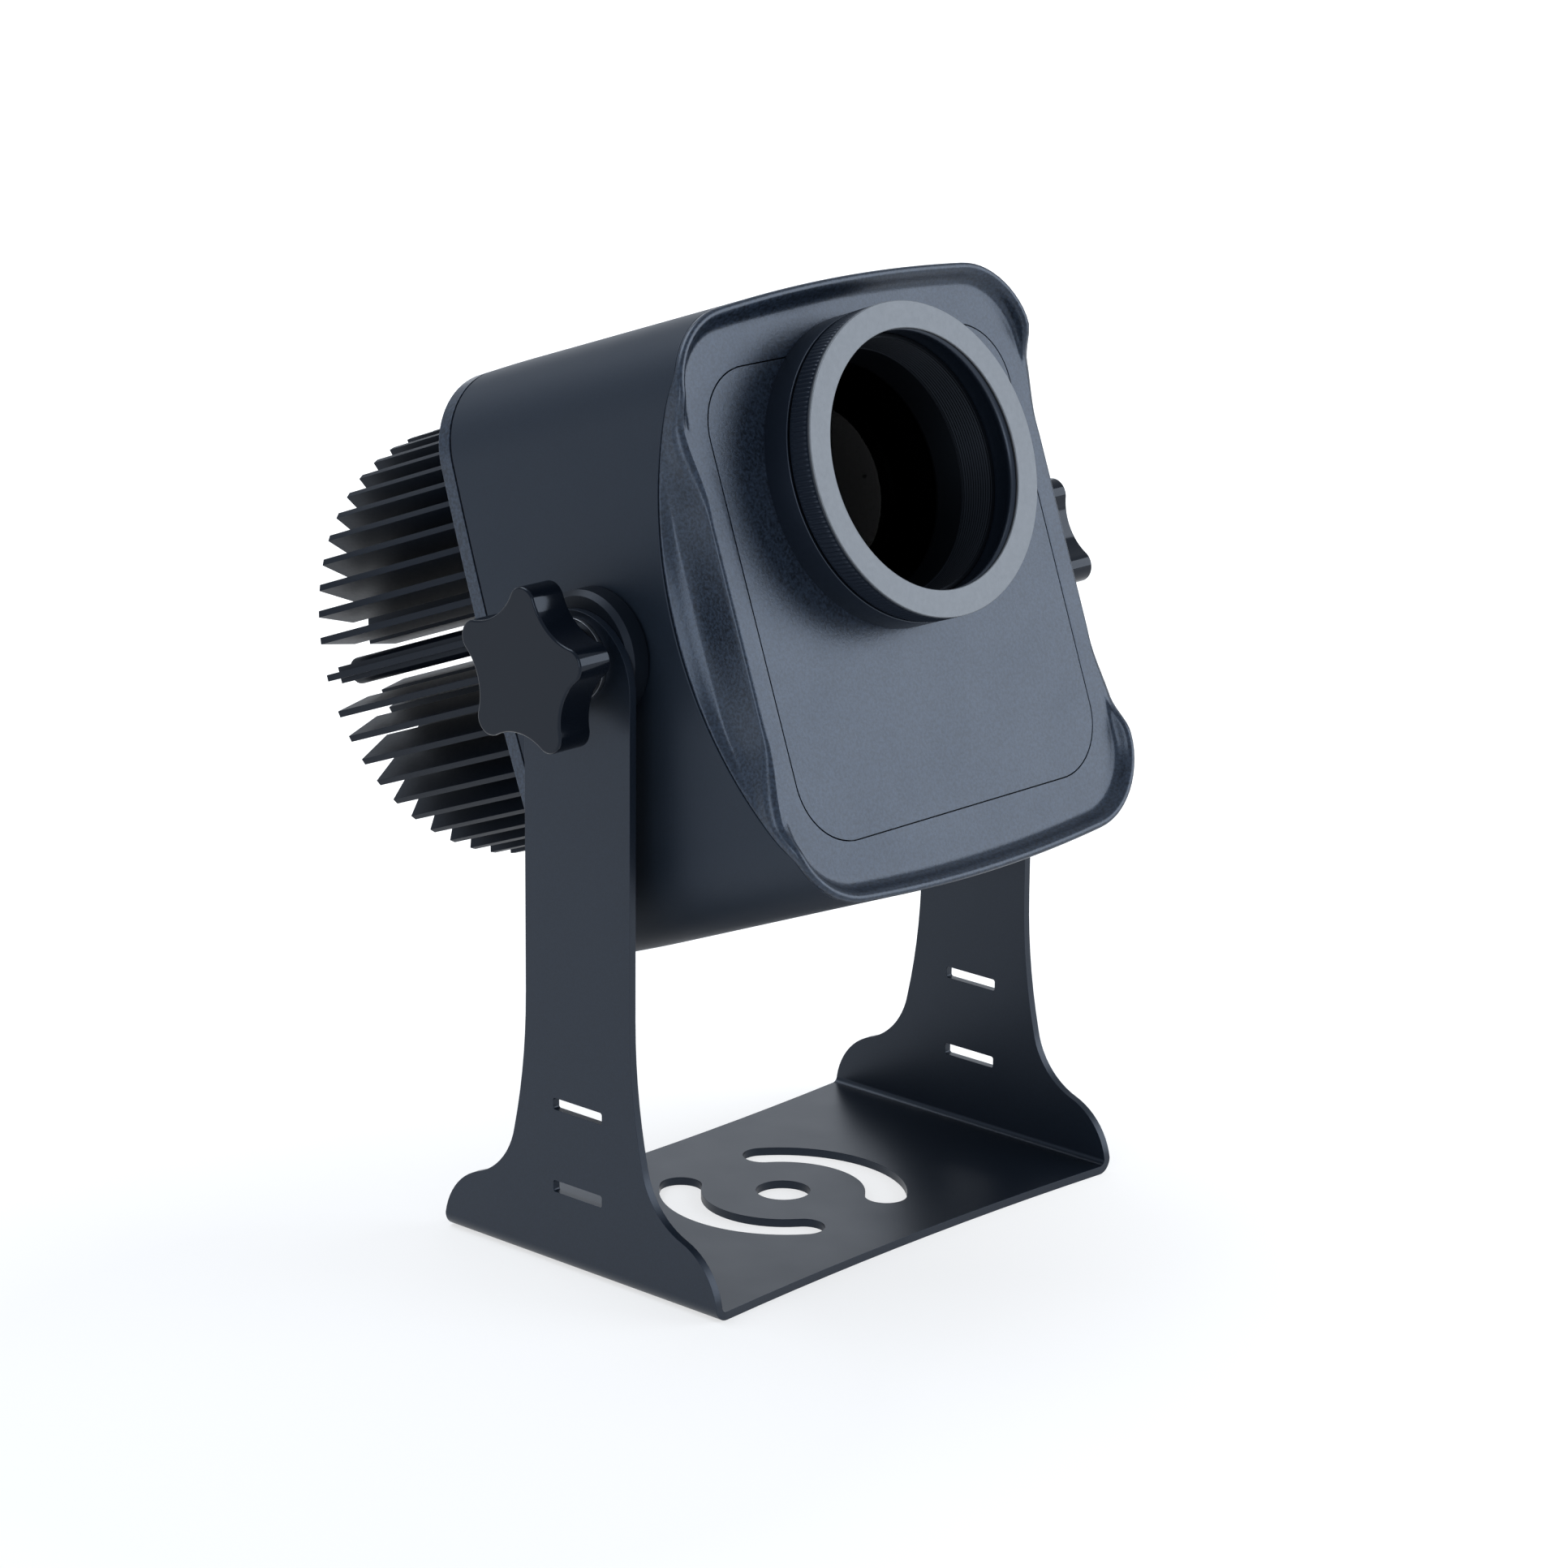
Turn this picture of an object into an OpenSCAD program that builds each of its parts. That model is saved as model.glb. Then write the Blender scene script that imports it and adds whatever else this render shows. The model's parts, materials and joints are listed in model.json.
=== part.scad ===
// Gobo projector: a small LED image projector head that tilts in a U-shaped sheet metal bracket.
// Millimetres, +Z up. X runs across the two arms, -Y is the front. The origin is the centre of the
// bracket's fixing hole on the underside of its base. The head is drawn tilted up, as it rests.

/* [Bracket] */
// gap between the body's side and each arm
arm_gap = 5.4; // [4:0.1:9]
// thickness of the folded sheet
sheet = 2; // [1.5:0.1:3]
// outside radius of the two folds
fold_radius = 3.5; // [3:0.1:6]
// width of the straight part of each arm
arm_width = 33.2; // [28:0.2:40]
// length of the base and of the foot of each arm
base_length = 87.8; // [76:0.2:110]
// how far the front and rear base edges bow inwards
base_bow = 2.4; // [0.5:0.1:5]
// height of the tilt axis
pivot_height = 145.4; // [140:0.2:160]
// height of the centre of the rounded arm end
arm_round_height = 139.8; // [134:0.2:150]
// height where the arm starts to widen
flare_height = 64; // [58:0.5:72]
// radius of the long concave edge of the arm
flare_radius = 144; // [125:1:160]
// radius of the rounded corner at the foot of the arm
foot_radius = 16.6; // [14:0.1:18]
// hole for the tilt spigot in each arm
pivot_hole = 12; // [10:0.1:14]
// central fixing hole in the base
bolt_hole = 13; // [10.5:0.1:14]
// centre radius of the two curved slots
curved_slot_radius = 24.6; // [20:0.1:28]
// width of the two curved slots
curved_slot_width = 10; // [6:0.1:11]
// angle of a curved slot's end, seen from the slot's middle
curved_slot_angle = 66; // [40:1:72]
// length of the safety strap slots
strap_slot_length = 15.6; // [12:0.2:20]
// width of the safety strap slots
strap_slot_width = 2.8; // [2.4:0.1:4]
// height of the lower strap slots
strap_slot_low = 19.5; // [17:0.1:22]
// height of the upper strap slots
strap_slot_high = 39.4; // [34:0.1:44]

/* [Head body] */
// upward tilt of the head as it rests
rest_tilt = 20; // [0:1:45]
// half width of the front rim
rim_half_width = 60; // [58.5:0.1:60.6]
// half height of the front rim
rim_half_height = 69; // [68:0.1:72]
// corner radius of the rim
rim_corner = 20; // [18:0.5:22]
// bulge radius of the top and bottom
crown_radius = 440; // [400:5:900]
// bulge radius of the sides
side_radius = 1000; // [900:10:1500]
// growth of the half width and half height from rim to rear
body_growth = 1.6; // [0.4:0.1:1.8]
// wall of the body tube
wall = 2; // [1.6:0.1:2.4]
// front of the rim, measured forwards from the tilt axis
rim_front = 41.5; // [41:0.1:43]
// flat front face
face_front = 38.3; // [37.6:0.1:39]
// rear end of the body tube
tube_rear = -33.3; // [-34:0.1:-33]
// rear face of the rear cover
rear_face = -37.5; // [-38.5:0.1:-37]
// radius of the scooped sides of the rim
scoop_radius = 97; // [92:0.5:102]
// rearmost point of the scooped rim
scoop_low = 24.7; // [23:0.1:27]
// height of the scoop's middle over the tilt axis
scoop_mid = 0; // [-2:0.5:2]
// half length of the straight side of the raised face
recess_straight = 27; // [24:0.5:30]
// radius in which that side runs out to the rim above and below
recess_end = 21; // [18:0.5:24]
// height over and under the tilt axis at which the lip starts to rise from the face
lip_start = 40.2; // [38:0.1:43]
// radius in which the lip rises
lip_end = 120; // [110:1:130]
// from the rim's side to the raised face between the scoops
side_margin = 3.5; // [3:0.1:5]
// from the rim's top to the flat face
top_margin = 4.5; // [3.5:0.1:6]
// from the raised face's side to the inset front panel
panel_side_margin = 6.4; // [5.5:0.1:8]
// from the flat face's top to the inset front panel
panel_top_margin = 10.8; // [9.5:0.1:12.5]
// corner radius of the inset front panel
panel_corner = 15; // [12:0.5:18]
// thickness of the cover plates
plate = 2.5; // [2:0.1:3]

/* [Lens] */
// height of the lens axis over the tilt axis
lens_height = 24.5; // [22:0.1:25]
// outer radius of the focus ring
focus_radius = 36.06; // [35:0.02:36.6]
// inner radius of the light front ring
trim_inner = 29.74; // [28:0.02:30]
// front of the light front ring
trim_front = 52.9; // [51:0.1:55]
// thickness of the light front ring
trim_thick = 0.8; // [0.6:0.1:1.2]
// rear edge of the knurled band
band_rear = 45.9; // [45.6:0.1:46.4]
// front edge of the fixed sleeve
sleeve_front = 45.5; // [44.5:0.1:45.6]
// outer radius of the sliding lens tube
tube_radius = 30.35; // [30.2:0.05:30.6]
// front end of the sliding lens tube
tube_front = 45; // [43:0.1:45]
// radius of the front lens
lens_radius = 27.8; // [27.4:0.1:28]
// how far the lens tube moves each way
focus_travel = 3.5; // [2:0.1:3.8]
// radial clearance of the parts that run in each other
run = 0.05; // [0.02:0.01:0.08]
// radial play of screws in their clearance holes
play = 0.25; // [0.15:0.05:0.4]

/* [Light engine] */
// radius of the projected picture disc
gobo_radius = 13.5; // [12:0.1:14]
// thickness of the picture disc
gobo_thick = 1.1; // [0.7:0.1:1.2]
// radius of the gate bore that the picture holder turns in
gate_bore = 20; // [19:0.1:21]
// radius of the condenser lenses
condenser_radius = 15.4; // [15:0.1:15.8]
// radius of the light source
emitter_radius = 6; // [4:0.1:8]

/* [Heat sink] */
// height of the heat sink axis over the tilt axis
sink_height = 9.75; // [8:0.25:11]
// outer radius of the fins
fin_outer = 52.8; // [50:0.1:53]
// inner radius of the outer fin ring
fin_step = 42.3; // [41:0.1:43]
// outer radius of the inner fin ring
fin_gap = 37.7; // [36:0.1:39]
// inner radius of the inner fin ring
fin_inner = 29.7; // [28:0.1:32]
// thickness of the fins
fin_thick = 1.6; // [1.2:0.1:1.8]
// fins in each quarter
fins_per_quarter = 11; // [9:1:12]
// angle between fins
fin_pitch = 7.04; // [6.5:0.01:7.6]
// rear tips of the fins
fin_rear = -103.3; // [-110:0.5:-90]
// radius of the heat sink's flange
sink_flange = 57.5; // [56.5:0.1:57.8]

/* [Knobs] */
// radius over the lobes
knob_radius = 19.4; // [17:0.1:22]
// radius in the hollows
knob_waist = 14; // [12.5:0.1:15]
// radius of the lobe tips
lobe_tip = 4; // [3:0.1:4.5]
// thickness of the knob's lobes
knob_thick = 9.5; // [7:0.1:13]
// from the arm's outer face to the lobes
knob_standoff = 8; // [6:0.1:10]
// radius of the threaded stud
stud_radius = 3; // [2.5:0.1:4]
// radius of the friction discs
disc_radius = 15; // [12:0.1:16.5]
// thickness of the washers
washer_thick = 1.2; // [0.8:0.1:2]

/* [Hidden] */
$fn = 96;
eps = 0.01;

black = "#1b1d20";
slate = "#343a42";
satin = "#3c424c";
cover = "#4a4e5a";
pale = "#9ca0b0";
steel = "#a9adb3";
metal = "#b8bcc2";
rubber = "#141517";
clear = "#bfd6e6";

// bracket
rear_half_width = rim_half_width + body_growth;
arm_inner = rear_half_width + arm_gap;
arm_outer = arm_inner + sheet;
arm_half = arm_width / 2;
base_half = base_length / 2;
bow_radius = ((arm_outer - fold_radius) * (arm_outer - fold_radius) + base_bow * base_bow) / (2 * base_bow);
// the foot's corner is an arc centred a little below the fold line, a short slope joins it to a hollow,
// and the hollow runs into the long arc; touching curves cross by a hair so that they meet cleanly
foot_drop = 2.8;
foot_z = fold_radius - foot_drop;
foot_y = base_half - sqrt(foot_radius * foot_radius - foot_drop * foot_drop);
slope = 20.7;
sx = cos(slope);
sz = -sin(slope);
hollow_r = 18.7;
flare_y = arm_half + flare_radius + 2 * eps;
// centre of the hollow: its radius over the slope, and that far inside the long arc
h0y = foot_y - sz * (foot_radius + hollow_r);
h0z = foot_z + sx * (foot_radius + hollow_r);
dy0 = h0y - flare_y;
dz0 = h0z - flare_height;
hb = dy0 * sx + dz0 * sz;
hc = dy0 * dy0 + dz0 * dz0 - (flare_radius - hollow_r) * (flare_radius - hollow_r);
ht = -hb - sqrt(hb * hb - hc);
hol_y = h0y + ht * sx;
hol_z = h0z + ht * sz;
// where the hollow meets the slope and the long arc
low_y = hol_y + sz * hollow_r;
low_z = hol_z - sx * hollow_r;
up_len = sqrt((hol_y - flare_y) * (hol_y - flare_y) + (hol_z - flare_height) * (hol_z - flare_height));
up_y = flare_y + (hol_y - flare_y) / up_len * flare_radius;
up_z = flare_height + (hol_z - flare_height) / up_len * flare_radius;
// where the slope meets the corner
cor_y = foot_y - sz * (foot_radius - 2 * eps);
cor_z = foot_z + sx * (foot_radius - 2 * eps);

// head
scoop_z = scoop_low + scoop_radius;
gasket = 0.5;
seam = 0.3;
lip = 1.5;
tube_front_end = rim_front - lip - seam;
tube_scoop = scoop_radius + lip + seam;
tube_len = tube_front_end - tube_rear;
rear_half_height = rim_half_height + body_growth;
plateau_half_width = rim_half_width - side_margin;
plateau_half_height = rim_half_height - top_margin;
panel_half_width = plateau_half_width - panel_side_margin;
panel_half_height = plateau_half_height - panel_top_margin;
panel_screw_x = panel_half_width - 12.1;
panel_screw_y = panel_half_height + 3.2;
panel_screw_length = 3.6;
far = 2 * rim_half_height;
pocket_half_width = rim_half_width - 2;
pocket_half_height = rim_half_height - 2;
inner_inset = wall + 0.2;
rear_rim = tube_rear - gasket;
rear_plate = rear_face + plate;
plate_back = face_front - plate;
tie_x = rim_half_width - 11.5;
tie_y = rim_half_height - 11.8;
tie_r = 2;
skirt_z = 16;
seal_z = 17.4;
panel_gap = 0.25;

// pivot
seat_x = rear_half_width - 0.1;
disc_out = arm_inner - 0.1;
spigot_r = pivot_hole / 2 - run;
stud_bore = stud_radius + run;
insert_r = 5;
insert_seat = seat_x - 9;
hub_in = arm_outer + washer_thick;

// lens
collar_bore = trim_inner + 3.66;
skirt_r = collar_bore - run;
helix_r = tube_radius + run;
collar_r = focus_radius - 1.16;
lens_stop = 29.3;
lens_bore = lens_radius + run;
rod_ring = 38;
rod_r = 1.5;

// light engine
sink_back = rear_plate + 0.6;
sink_front = sink_back + 4;
board_front = sink_front + 1.5;
fix_z = sink_front - 3.2;
gate_front = 0;
gate_back = -3;
step_z = board_front + 4.9;
post_x = 31;
post_y = 27;
m3 = 1.5;

// driver board and the places of its parts
drv_back = -17.6;
drv_front = drv_back + 1.6;
drv_x = 36;
drv_low = -57;
drv_high = -18;
drv_edge = 6;
coil_x = 24;
coil_y = -38;
coil_r = 9;
coil_flange = 1.5;
coil_high = 11;
cap_x = 28;
cap_y = -26;
cap_pitch = 12;
cap_r = 5;
cap_high = 16;
small_cap_x = 6;
trafo_x = -7;
trafo_y = -48;
trafo_wide = 22;
trafo_deep = 17;
trafo_high = 15;
block_half = 12;
block_y = -62;
block_deep = 9;
block_high = 10;
block_pitch = 7.4;

gland_y = -(rear_half_height - 12.1);
gland_r = 6;
cable_r = 3.2;
vent_x = 20.5;

knob_hub = 8;
knob_back = arm_outer + knob_standoff;
knob_face = knob_back + knob_thick;
lobe_ring = knob_radius - lobe_tip;
valley_r = (knob_waist * knob_waist + lobe_ring * lobe_ring - 2 * lobe_ring * cos(36) * knob_waist
    - lobe_tip * lobe_tip) / (2 * lobe_tip + 2 * lobe_ring * cos(36) - 2 * knob_waist);
valley_ring = knob_waist + valley_r;
lobe_fill = sqrt(pow(lobe_ring + lobe_tip * (valley_ring * cos(36) - lobe_ring) / (valley_r + lobe_tip), 2)
    + pow(lobe_tip * valley_ring * sin(36) / (valley_r + lobe_tip), 2));

// places a shape drawn with x across, y up and z forwards into the tilted head
module in_head() { translate([0, 0, pivot_height]) rotate([90 - rest_tilt, 0, 0]) children(); }
module on_lens() { in_head() translate([0, lens_height, 0]) children(); }
module on_sink() { in_head() translate([0, sink_height, 0]) children(); }
module both_sides() { children(); mirror([1, 0, 0]) children(); }
module ring(r1, r2, z1, z2) {
    difference() {
        translate([0, 0, z1]) cylinder(r = r2, h = z2 - z1);
        translate([0, 0, z1 - 1]) cylinder(r = r1, h = z2 - z1 + 2);
    }
}
module rod(x, y, r, z1, z2) { translate([x, y, z1]) cylinder(r = r, h = z2 - z1); }
module screw(x, y, z, r, len, head_r, head_h) {
    translate([x, y, z - len]) cylinder(r = r, h = len + eps);
    translate([x, y, z]) cylinder(r = head_r, h = head_h);
}

// rounded rectangle with slightly bulging sides: its corner circle touches both bulges
function corner_at(hw, hh, r) =
    let (a = crown_radius - r, b = side_radius - r,
         oy = hh - crown_radius, ox = hw - side_radius,
         d = sqrt(ox * ox + oy * oy),
         k = (a * a - b * b + d * d) / (2 * d),
         h = sqrt(a * a - k * k))
    [k * ox / d + h * -oy / d, oy - k * oy / d + h * -ox / d];
module outline(hw, hh, r, fine = 1) {
    c = corner_at(hw, hh, r);
    oy = hh - crown_radius;
    ox = hw - side_radius;
    // touching points of the corner circle, and where the line through them meets the axes
    tx = c[0] * crown_radius / (crown_radius - r);
    ty = oy + (c[1] - oy) * crown_radius / (crown_radius - r);
    ux = ox + (c[0] - ox) * side_radius / (side_radius - r);
    uy = c[1] * side_radius / (side_radius - r);
    px = tx + ty * (ux - tx) / (ty - uy);
    py = ty + tx * (ty - uy) / (ux - tx);
    intersection() {
        translate([0, oy]) circle(r = crown_radius, $fn = 720 * fine);
        translate([0, -oy]) circle(r = crown_radius, $fn = 720 * fine);
        translate([ox, 0]) circle(r = side_radius, $fn = 1440 * fine);
        translate([-ox, 0]) circle(r = side_radius, $fn = 1440 * fine);
        polygon([[px, 0], [0, py], [-px, 0], [0, -py]]);
    }
    for (i = [-1, 1], j = [-1, 1]) translate([i * c[0], j * c[1]]) circle(r = r + eps);
}
module rim_prism(inset, z1, z2) {
    translate([0, 0, z1]) linear_extrude(height = z2 - z1)
        outline(rim_half_width - inset, rim_half_height - inset, rim_corner - inset);
}
module rear_prism(inset, z1, z2) {
    translate([0, 0, z1]) linear_extrude(height = z2 - z1)
        outline(rear_half_width - inset, rear_half_height - inset, rim_corner - inset);
}
module rounded(hw, hh, r, z1, z2) {
    translate([0, 0, z1]) linear_extrude(height = z2 - z1) union() {
        square([2 * hw, 2 * hh - 2 * r], center = true);
        square([2 * hw - 2 * r, 2 * hh], center = true);
        for (i = [-1, 1], j = [-1, 1]) translate([i * (hw - r), j * (hh - r)]) circle(r = r);
    }
}
module scoop(r, x1, x2) {
    translate([x1, scoop_mid, scoop_z]) rotate([0, 90, 0]) cylinder(r = r, h = x2 - x1, $fn = 360);
}
module tie_places() { for (i = [-1, 1], j = [-1, 1]) translate([i * tie_x, j * tie_y, 0]) children(); }

// bracket arm, drawn with x forwards or backwards and y up
module arm_half_outline() {
    difference() {
        union() {
            polygon([[0, fold_radius], [foot_y, fold_radius], [cor_y, cor_z], [low_y, low_z], [up_y, up_z], [arm_half, flare_height],
                [arm_half, arm_round_height], [0, arm_round_height]]);
            intersection() {
                translate([foot_y, foot_z]) circle(r = foot_radius);
                translate([foot_y - 1, fold_radius]) square(foot_radius + 2);
            }
        }
        translate([hol_y, hol_z]) circle(r = hollow_r + 2 * eps);
        intersection() {
            translate([flare_y, flare_height]) circle(r = flare_radius, $fn = 360);
            translate([0, up_z]) square([flare_y, flare_radius]);
        }
    }
}
module arm_profile() {
    difference() {
        union() {
            arm_half_outline();
            mirror([1, 0]) arm_half_outline();
            translate([0, arm_round_height]) circle(r = arm_half);
        }
        translate([0, pivot_height]) circle(d = pivot_hole);
        for (z = [strap_slot_low, strap_slot_high]) translate([0, z]) {
            square([strap_slot_length - 1.2, strap_slot_width], center = true);
            square([strap_slot_length, strap_slot_width - 1.2], center = true);
            for (i = [-1, 1], j = [-1, 1])
                translate([i * (strap_slot_length / 2 - 0.6), j * (strap_slot_width / 2 - 0.6)])
                    circle(r = 0.6, $fn = 24);
        }
    }
}
module arm() {
    translate([arm_inner, 0, 0]) rotate([90, 0, 90]) linear_extrude(height = sheet) arm_profile();
    translate([arm_outer - fold_radius, base_half, fold_radius]) rotate([90, 0, 0])
        linear_extrude(height = base_length) intersection() {
            difference() { circle(r = fold_radius); circle(r = fold_radius - sheet); }
            translate([0, -fold_radius]) square(fold_radius);
        }
}
module curved_slot() {
    e = curved_slot_angle - asin(curved_slot_width / 2 / curved_slot_radius);
    far = 2 * curved_slot_radius;
    intersection() {
        difference() {
            circle(r = curved_slot_radius + curved_slot_width / 2);
            circle(r = curved_slot_radius - curved_slot_width / 2);
        }
        polygon([[0, 0], [far * cos(e), far * sin(e)], [2 * far, 0], [far * cos(e), -far * sin(e)]]);
    }
    for (a = [-e, e]) rotate(a) translate([curved_slot_radius, 0]) circle(d = curved_slot_width + 2 * eps);
}
module yoke() {
    color(satin) {
        linear_extrude(height = sheet) difference() {
            square([2 * (arm_outer - fold_radius), base_length], center = true);
            for (j = [-1, 1]) translate([0, j * (base_half - base_bow + bow_radius + eps)])
                circle(r = bow_radius, $fn = 1440);
            circle(d = bolt_hole);
            curved_slot();
            rotate(180) curved_slot();
        }
        both_sides() arm();
    }
}

// tilt parts: a disc with a spigot sits on each side of the body and turns in the arm
module tilt_discs() {
    color(black) both_sides() translate([0, 0, pivot_height]) rotate([0, 90, 0]) difference() {
        union() {
            translate([0, 0, seat_x]) cylinder(r = disc_radius, h = disc_out - seat_x - 1.2);
            translate([0, 0, disc_out - 1.2 - eps]) cylinder(r1 = disc_radius, r2 = disc_radius - 1.2, h = 1.2 + eps);
            translate([0, 0, disc_out - eps]) cylinder(r = spigot_r, h = arm_outer - 0.2 - disc_out);
        }
        translate([0, 0, seat_x - 1]) cylinder(r = stud_bore, h = 20);
    }
}
module pivot_inserts() {
    color(metal) both_sides() translate([0, 0, pivot_height]) rotate([0, 90, 0]) difference() {
        union() {
            translate([0, 0, insert_seat - 3]) cylinder(r = insert_r, h = seat_x - insert_seat + 3);
            translate([0, 0, insert_seat - 3]) cylinder(r = insert_r + 2.5, h = 3);
        }
        translate([0, 0, insert_seat - 4]) cylinder(r = stud_bore, h = 20);
    }
}

// body tube: slightly wider at the rear, its front end scooped at the sides
module tube_solid(inset, extra) {
    k = body_growth / tube_len;
    w1 = rear_half_width - inset + k * extra;
    h1 = rear_half_height - inset + k * extra;
    w2 = rim_half_width - inset - k * extra;
    h2 = rim_half_height - inset - k * extra;
    translate([0, 0, tube_rear - extra])
        linear_extrude(height = tube_len + 2 * extra, slices = 1, scale = [w2 / w1, h2 / h1])
            outline(w1, h1, rim_corner - inset, 0.5, $fn = 64);
}
module body_tube() {
    color(slate) in_head() difference() {
        union() {
            difference() {
                tube_solid(0, 0);
                tube_solid(wall, 1);
            }
            intersection() {
                tube_solid(wall / 2, 0);
                tie_places() translate([0, 0, tube_rear]) cylinder(r = 6, h = skirt_z - 0.5 - tube_rear, $fn = 48);
            }
            both_sides() rotate([0, 90, 0]) {
                translate([0, 0, rim_half_width - wall]) cylinder(r = disc_radius + 1.5, h = seat_x - rim_half_width + wall);
                translate([0, 0, insert_seat]) cylinder(r = insert_r + 3, h = seat_x - 1 - insert_seat);
            }
        }
        scoop(tube_scoop, -far, far);
        tie_places() translate([0, 0, tube_rear - 1]) cylinder(r = tie_r + play, h = tube_len + 2);
        both_sides() rotate([0, 90, 0]) translate([0, 0, insert_seat - 1]) cylinder(r = insert_r + run, h = 20);
    }
}
module front_gasket() {
    color(rubber) in_head() difference() {
        rim_prism(wall - 0.4, seal_z, seal_z + 2);
        rim_prism(wall + 1.2, seal_z - 1, seal_z + 3);
    }
}
// front cover: lip all round, flat face inside it, lip swept back at the sides
module front_cover() {
    color(cover) in_head() difference() {
        union() {
            rim_prism(0, skirt_z, rim_front);
            tie_places() translate([0, 0, skirt_z + eps]) cylinder(r = 6, h = plate_back - skirt_z);
        }
        difference() {
            translate([-far / 2 - 5, -far / 2 - 5, skirt_z - 6]) cube([far + 10, far + 10, tube_front_end + seam - skirt_z + 6]);
            rim_prism(inner_inset, skirt_z - 7, rim_front + 9);
            scoop(scoop_radius + lip, -far, far);
        }
        difference() {
            translate([0, 0, skirt_z - 1]) linear_extrude(height = plate_back - skirt_z + 1)
                outline(plateau_half_width - plate, plateau_half_height - plate, rim_corner - 6);
            tie_places() translate([0, 0, skirt_z - 2]) cylinder(r = 6, h = 30);
        }
        difference() {
            rim_prism(-1, seal_z, seal_z + 2);
            rim_prism(wall + 1.2, seal_z - 1, seal_z + 3);
        }
        lip_pocket();
        both_sides() side_recess();
        rounded(panel_half_width + panel_gap / 2, panel_half_height + panel_gap / 2,
            panel_corner, plate_back - 1, rim_front + 1);
        rod(0, lens_height, collar_r + run, plate_back - 1, rim_front + 1);
        tie_places() translate([0, 0, skirt_z - 6]) cylinder(r = tie_r + run, h = plate_back + 5.2 - skirt_z);
        panel_screw_places() rod(0, 0, m3 + run, plate_back - 1, face_front - 0.6);
    }
}
// beside the raised face the rim is cut back to the scoop; above and below, the lip rises from the face
module side_recess() {
    intersection() {
        scoop(scoop_radius, plateau_half_width, far);
        translate([0, 0, skirt_z]) linear_extrude(height = rim_front + 1 - skirt_z) {
            translate([plateau_half_width, -recess_straight]) square([far, 2 * recess_straight]);
            for (i = [-1, 1]) translate([plateau_half_width + recess_end, i * recess_straight]) circle(r = recess_end);
        }
    }
    intersection() {
        translate([plateau_half_width, scoop_mid, face_front + sqrt(lip_end * lip_end - lip_start * lip_start)])
            rotate([0, 90, 0]) cylinder(r = lip_end, h = far - plateau_half_width);
        translate([0, -far, face_front]) cube([far, 2 * far, rim_front + 1 - face_front]);
    }
}
module panel_screw_places() {
    for (i = [-1, 1], j = [-1, 1]) translate([i * panel_screw_x, j * panel_screw_y, 0]) children();
}
module lip_pocket() {
    run_up = rim_front - face_front;
    k = (pocket_half_width - plateau_half_width) / run_up;
    m = (pocket_half_height - plateau_half_height) / run_up;
    translate([0, 0, face_front]) linear_extrude(height = run_up + 1, slices = 1, scale =
        [(pocket_half_width + k) / plateau_half_width, (pocket_half_height + m) / plateau_half_height])
        outline(plateau_half_width, plateau_half_height, rim_corner - 3.5, 0.5, $fn = 64);
}
module front_panel() {
    color(cover) in_head() difference() {
        union() {
            rounded(panel_half_width - panel_gap / 2, panel_half_height - panel_gap / 2, panel_corner - panel_gap,
                plate_back - eps, face_front);
            rounded(panel_half_width + 3, panel_half_height + 6, panel_corner, plate_back - 2, plate_back);
        }
        rod(0, lens_height, collar_r + run, plate_back - 4, face_front + 1);
        rod(0, lens_height, rod_ring + 4, plate_back - 4, plate_back);
        tie_places() rod(0, 0, 6.3, plate_back - 4, plate_back + 1);
        panel_screw_places() rod(0, 0, m3 + run, plate_back - 4, face_front - 0.6);
        collar_screw_holes();
    }
}
module panel_screws() {
    color(steel) in_head() panel_screw_places() mirror([0, 0, 1])
        screw(0, 0, -(plate_back - 2), m3, panel_screw_length, 2.75, 2);
}

// fixed collar that the focus ring turns in
module collar_screw_holes() {
    for (a = [45, 135, 225, 315]) translate([0, lens_height, 0]) rotate(a)
        rod(rod_ring, 0, 1 + run, plate_back - 4, plate_back + 1.8);
}
module lens_collar() {
    color(black) on_lens() difference() {
        union() {
            rod(0, 0, collar_r, plate_back - 3, sleeve_front);
            intersection() {
                rod(0, 0, rod_ring + 3, plate_back - 3, plate_back - 0.1);
                translate([-far, -far, 0]) cube([2 * far, far + plateau_half_height - plate - 0.5 - lens_height, far]);
            }
        }
        rod(0, 0, collar_bore, plate_back - 4, sleeve_front + 1);
        for (a = [45, 135, 225, 315]) rotate(a) rod(rod_ring, 0, 1 + run, plate_back - 4, plate_back + 2);
        for (a = [-20, 200]) rotate(a) rod(rod_ring, 0, rod_r + run, plate_back - 4, plate_back - 1);
    }
}
module collar_sleeve() {
    color(black) on_lens() ring(collar_r + run, focus_radius - 0.06, face_front, sleeve_front);
}
module collar_screws() {
    color(steel) on_lens() for (a = [45, 135, 225, 315]) rotate(a) mirror([0, 0, 1])
        screw(rod_ring, 0, -(plate_back - 3), 1, 4.4, 1.9, 1.6);
}
module guide_rods() {
    color(metal) on_lens() for (a = [-20, 200]) rotate(a) rod(rod_ring, 0, rod_r, 2, plate_back - 1);
}

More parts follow.
